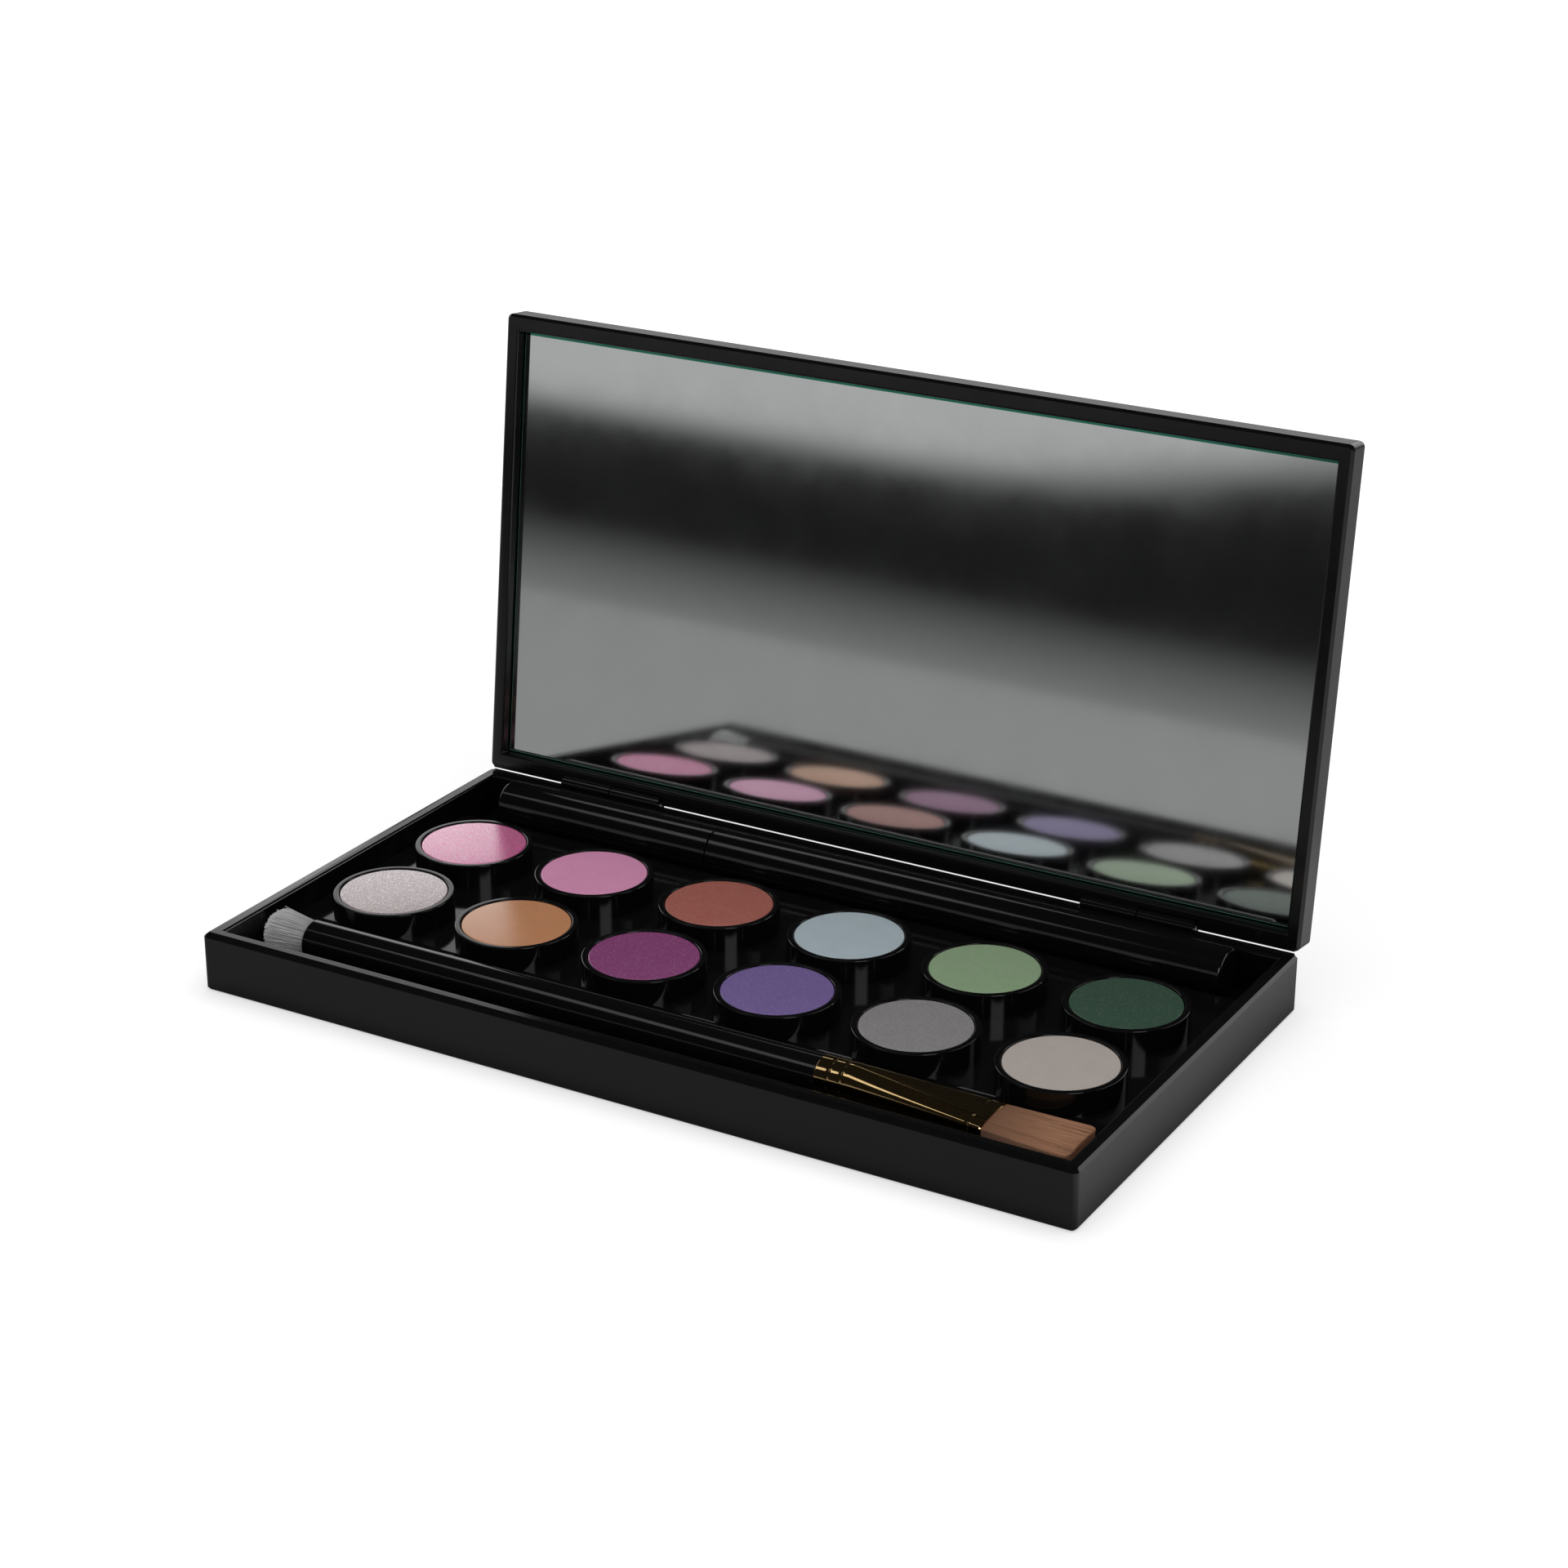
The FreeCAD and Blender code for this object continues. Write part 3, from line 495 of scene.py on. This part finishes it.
def make_flat_hair():
    """Flat packed hair, wider and thinner at its tip, with rounded corners."""
    low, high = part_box("brush_flat_bristles")
    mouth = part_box("brush_ferrule")[1].x
    length = high.x - mouth
    root_wide, tip_wide = 5.2 * MM, (high.y - low.y) / 2
    root_deep, tip_deep = 1.7 * MM, 1.0 * MM
    thinning, corner_start, corner_drop = 0.6, 0.72, 1.6 * MM
    ragged, astray = 0.22 * MM, 0.10 * MM
    chance = random.Random(FLAT_SEED)
    ends = []
    for _ in range(FLAT_HAIRS):
        across = chance.uniform(-1, 1)
        up = chance.uniform(-1, 1) * math.sqrt(1 - thinning * across * across)
        corner = max(abs(across) - corner_start, 0) / (1 - corner_start)
        drop = corner_drop * (1 - math.sqrt(1 - corner * corner))
        reach = length - drop - abs(chance.gauss(0, ragged))
        tip_y = max(-tip_wide, min(tip_wide, tip_wide * across + chance.gauss(0, astray)))
        root = BRUSH_AXIS + Vector((0, root_wide * across, root_deep * up))
        tip = BRUSH_AXIS + Vector((0, tip_y, tip_deep * up))
        root.x, tip.x = mouth - HAIR_SET_IN, mouth + reach
        ends.append((root, tip))
    hairs = hair("flat_brown", BROWN_ROOT, BROWN_TIP, mouth, high.x)
    finish_piece("flat_hair", make_strands(ends, FLAT_HAIR_RADIUS), "brush", [hairs], "flat_hair",
                 "brush_flat_bristles")


def make_tuft():
    """Soft round tuft that opens out from the handle's end."""
    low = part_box("brush_soft_tuft")[0]
    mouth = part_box("brush_handle")[0].x
    length = mouth - low.x
    axis = Vector((mouth, BRUSH_AXIS.y, BRUSH_AXIS.z))
    root_radius, tip_radius = 3.5 * MM, 4.5 * MM
    rounding, ragged, astray = 0.22, 0.45 * MM, 0.2 * MM
    chance = random.Random(TUFT_SEED)
    ends = []
    for _ in range(TUFT_HAIRS):
        angle = chance.uniform(0, math.tau)
        out = math.sqrt(chance.random())
        reach = length * (1 - rounding * out ** 3) - abs(chance.gauss(0, ragged))
        way = Vector((0, math.cos(angle), math.sin(angle)))
        root = axis + way * root_radius * out + RIGHT * HAIR_SET_IN
        stray = Vector((0, chance.gauss(0, astray), chance.gauss(0, astray)))
        tip = axis + way * tip_radius * out + stray - RIGHT * reach
        tip.z = max(tip.z, low.z)
        ends.append((root, tip))
    hairs = hair("tuft_grey", GREY_ROOT, GREY_TIP, mouth, low.x)
    finish_piece("tuft_hair", make_strands(ends, TUFT_HAIR_RADIUS), "brush", [hairs], "tuft_hair",
                 "brush_soft_tuft")


# Liner pen
def make_pen():
    """Cap, barrel with its neck, and nib, each turned about the pen's axis."""
    cap_low, cap_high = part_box("liner_cap")
    barrel_low, barrel_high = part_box("liner_barrel")
    nib_low, nib_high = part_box("liner_nib")
    start = Vector((cap_low.x, LINER_AXIS.y, LINER_AXIS.z))
    seam, neck_end, end, nib_start, nib_end = (
        corner.x - cap_low.x for corner in (cap_high, barrel_low, barrel_high, nib_low, nib_high))
    shoulder = seam + SEAM_GAP
    radius = (cap_high.z - cap_low.z) / 2
    bore, neck = radius - CAP_WALL, radius - NECK_STEP
    cap = bmesh.new()
    turn(cap, [(0, 0), (0, radius), (seam, radius), (seam, bore), (CAP_END, bore), (CAP_END, 0)],
         start, RIGHT)
    soften(cap, PEN_END_ROUND, lambda middle: middle.x < cap_low.x + PEN_END_REACH)
    soften(cap, SEAM_ROUND, lambda middle: middle.x > cap_high.x - PEN_END_REACH, segments=2)
    finish_piece("pen_cap", cap, "cap", [PEN], "liner_plastic", "liner_cap")
    barrel = bmesh.new()
    turn(barrel, [(neck_end, 0), (neck_end, neck), (shoulder, neck), (shoulder, radius), (end, radius),
                  (end, 0)], start, RIGHT)
    soften(barrel, PEN_END_ROUND, lambda middle: middle.x > barrel_high.x - PEN_END_REACH)
    soften(barrel, SEAM_ROUND, lambda middle: middle.x < cap_high.x + SEAM_REACH, segments=2)
    finish_piece("pen_barrel", barrel, "liner", [PEN], "liner_plastic", "liner_barrel", "liner_end_plug")
    felt = bmesh.new()
    turn(felt, [(nib_start, 0), (nib_start + NIB_POINT, NIB_POINT_RADIUS),
                (neck_end - NIB_COLLAR, NIB_RADIUS), (nib_end, NIB_RADIUS), (nib_end, 0)],
         start, RIGHT, steps=32)
    finish_piece("pen_nib", felt, "liner", [FELT], "nib_felt", "liner_nib")


def dress_solids():
    """Finishes of the solids that are shown as they are."""
    finishes = {
        "insert_tray": TRAY, "mirror_tape": FILM,
        "hinge_pin_left": STEEL, "hinge_pin_right": STEEL, "base_magnets": NICKEL,
        "lid_magnets": NICKEL, "liner_reservoir": FELT,
    }
    for node, material in finishes.items():
        mesh = frame["nodes"][node].data
        mesh.materials.clear()
        mesh.materials.append(material)


# Studio
FLOOR_SEEN = 0.41
FLOOR_GREY = 0.23
FLOOR_HALF = 6
FLOOR_DROP = 0.05 * MM
FRONT_ROOM_PLACE = (-0.8, -2.25, 1 * MM)
FRONT_ROOM_WIDTH, FRONT_ROOM_DEPTH = 5, 4
BACKDROP_LIGHT = 1.35
FRONT_CARD_LIGHT = 0.4
DARK_ROOM_LIGHT = 0.012
FILL_LIGHT = 0.52
LAMP_TARGET = Vector((0, 0, 0.02))
CAMERA_PLACE = Vector((305.97, -515.32, 295.03)) * MM
CAMERA_ANGLES = (30.019, 22.577, 0.102)
CAMERA_LENS = 77.83
CAMERA_SENSOR = 36

# Soft boxes: name, place, width, height, power, and whether it shows in what shines
LAMPS = (
    ("overhead_box", (0.05, 0.15, 1.1), 1.0, 0.7, 8.9, False),
    ("right_box", (0.76, -0.57, 0.40), 0.36, 0.30, 1.3, True),
    ("front_box", (-0.35, -1.1, 0.75), 1.0, 0.5, 2.0, False),
    ("high_box", (-0.58, -0.40, 1.0), 0.45, 0.18, 0.26, True),
)


def ray_shares(tree):
    """Share of camera rays, and of rays that a shiny or clear surface sends on."""
    path = add(tree, "LightPath", {})
    seen = path.outputs["Is Camera Ray"]
    shiny = maths(tree, "MAXIMUM", path.outputs["Is Glossy Ray"], path.outputs["Is Transmission Ray"])
    return seen, shiny


def glowing(name):
    """Material of light alone, with its emission node."""
    material, tree, surface = blank(name)
    tree.nodes.remove(surface)
    light = add(tree, "Emission", {"Color": (1, 1, 1, 1)})
    feed(tree, tree.nodes["Material Output"].inputs["Surface"], light.outputs[0])
    return material, tree, light


def stage_piece(name, bm, material):
    """Object of the studio, apart from the palette."""
    mesh = bpy.data.meshes.new(name)
    bm.to_mesh(mesh)
    bm.free()
    mesh.materials.append(material)
    piece = bpy.data.objects.new(name, mesh)
    bpy.context.scene.collection.objects.link(piece)
    return piece


def make_floor():
    """Floor, white to the camera with a soft shadow; what shines sees it only right of the palette."""
    material, tree, light = glowing("floor_white")
    seen, shiny = ray_shares(tree)
    spot = add(tree, "SeparateXYZ", {"Vector": place(tree)})
    reach = add(tree, "VectorMath", {0: place(tree)}, operation="LENGTH").outputs["Value"]
    behind = spread(tree, spot.outputs["Y"], 0.42, 0.12, start=0.08, end=0.14)
    beside = spread(tree, spot.outputs["X"], 0, 1, start=CASE_HIGH.x, end=CASE_HIGH.x + 0.02)
    shown = maths(tree, "MULTIPLY", shiny, maths(tree, "MULTIPLY", behind, beside))
    white = maths(tree, "MULTIPLY", seen, spread(tree, reach, 0.55, 1.0, start=0.15, end=0.7))
    feed(tree, light.inputs["Strength"], maths(tree, "ADD", shown, white))
    grey = spread(tree, seen, FLOOR_GREY, FLOOR_SEEN, start=0, end=1)
    cloth = add(tree, "BsdfDiffuse", {"Color": grey})
    both = add(tree, "AddShader", {0: light.outputs[0], 1: cloth.outputs[0]})
    feed(tree, tree.nodes["Material Output"].inputs["Surface"], both.outputs[0])
    bm = bmesh.new()
    bmesh.ops.create_grid(bm, x_segments=1, y_segments=1, size=FLOOR_HALF,
                          matrix=Matrix.Translation((0, 0, CASE_LOW.z - FLOOR_DROP)))
    stage_piece("floor", bm, material)


def make_front_room():
    """Floor in front that falls off to dark, with a pale card beyond, as the shiny surfaces see it."""
    material, tree, light = glowing("front_room")
    spot = add(tree, "SeparateXYZ", {"Vector": place(tree)})
    ground = spread(tree, spot.outputs["Y"], 0.008, 0.20, start=-0.44, end=-0.24)
    card = spread(tree, spot.outputs["Y"], 0.43, 0, start=-0.98, end=-0.82)
    side = spread(tree, spot.outputs["X"], 1, 0, start=-0.48, end=-0.34)
    feed(tree, light.inputs["Strength"], maths(tree, "ADD", ground, maths(tree, "MULTIPLY", card, side)))
    bm = bmesh.new()
    stretch = Matrix.Diagonal((FRONT_ROOM_WIDTH, FRONT_ROOM_DEPTH, 1, 1))
    bmesh.ops.create_grid(bm, x_segments=1, y_segments=1, size=0.5,
                          matrix=Matrix.Translation(FRONT_ROOM_PLACE) @ stretch)
    room = stage_piece("front_room", bm, material)
    room.visible_camera = False
    room.visible_diffuse = False
    room.visible_shadow = False


def make_world():
    """White to the camera; what shines sees a backdrop behind, a low front card and a dark room."""
    world = bpy.data.worlds.new("studio")
    bpy.context.scene.world = world
    world.use_nodes = True
    tree = world.node_tree
    seen, shiny = ray_shares(tree)
    way = add(tree, "TexCoord", {}).outputs["Generated"]
    spot = add(tree, "SeparateXYZ", {"Vector": way})
    back = spread(tree, spot.outputs["Y"], 0, 1, start=-0.1, end=0.15)
    rise = spread(tree, spot.outputs["Z"], 0, 1, start=0.0, end=0.2)
    fall = spread(tree, spot.outputs["Z"], BACKDROP_LIGHT, 0, start=0.38, end=0.52)
    backdrop = maths(tree, "MULTIPLY", back, maths(tree, "MULTIPLY", rise, fall))
    front = spread(tree, spot.outputs["Y"], FRONT_CARD_LIGHT, 0, start=-0.6, end=-0.3)
    card = maths(tree, "MULTIPLY", front, spread(tree, spot.outputs["Z"], 1, 0, start=0.24, end=0.34))
    room = maths(tree, "MAXIMUM", maths(tree, "MAXIMUM", backdrop, card), DARK_ROOM_LIGHT)
    fill = add(tree, "Mix", {0: shiny, 2: FILL_LIGHT, 3: room}).outputs[0]
    strength = add(tree, "Mix", {0: seen, 2: fill, 3: 1.0}).outputs[0]
    feed(tree, tree.nodes["Background"].inputs["Color"], (1, 1, 1, 1))
    feed(tree, tree.nodes["Background"].inputs["Strength"], strength)


def make_light(name, spot, width, height, power, shows):
    """Soft box that faces the palette, and shows or not in what shines."""
    light = bpy.data.lights.new(name, "AREA")
    light.shape = "RECTANGLE"
    light.size = width
    light.size_y = height
    light.energy = power
    lamp = bpy.data.objects.new(name, light)
    lamp.location = spot
    lamp.visible_glossy = shows
    lamp.rotation_euler = (LAMP_TARGET - Vector(spot)).to_track_quat("-Z", "Y").to_euler()
    bpy.context.scene.collection.objects.link(lamp)


def make_camera():
    """Camera at the photograph's place, direction and angle of view."""
    azimuth, elevation, roll = (math.radians(angle) for angle in CAMERA_ANGLES)
    back = Vector((math.sin(azimuth) * math.cos(elevation), -math.cos(azimuth) * math.cos(elevation),
                   math.sin(elevation)))
    right = Vector((math.cos(azimuth), math.sin(azimuth), 0))
    up = back.cross(right)
    turned_right = right * math.cos(roll) + up * math.sin(roll)
    turned_up = up * math.cos(roll) - right * math.sin(roll)
    data = bpy.data.cameras.new("camera")
    data.lens = CAMERA_LENS
    data.sensor_width = CAMERA_SENSOR
    camera = bpy.data.objects.new("camera", data)
    axes = Matrix((turned_right, turned_up, back)).transposed()
    camera.matrix_world = Matrix.Translation(CAMERA_PLACE) @ axes.to_4x4()
    bpy.context.scene.collection.objects.link(camera)
    bpy.context.scene.camera = camera


# The whole scene
for row in ("front", "rear"):
    make_pots(row)
    make_powders(row)
make_shell("case_base", "base_shell", "base", Matrix())
make_shell("case_lid", "lid_shell", "lid", LID_OPENED)
make_mirror()
make_handle()
make_ferrule()
make_flat_hair()
make_tuft()
make_pen()
dress_solids()
make_floor()
make_front_room()
make_world()
for lamp in LAMPS:
    make_light(*lamp)
make_camera()
bpy.context.scene.view_settings.view_transform = "Standard"
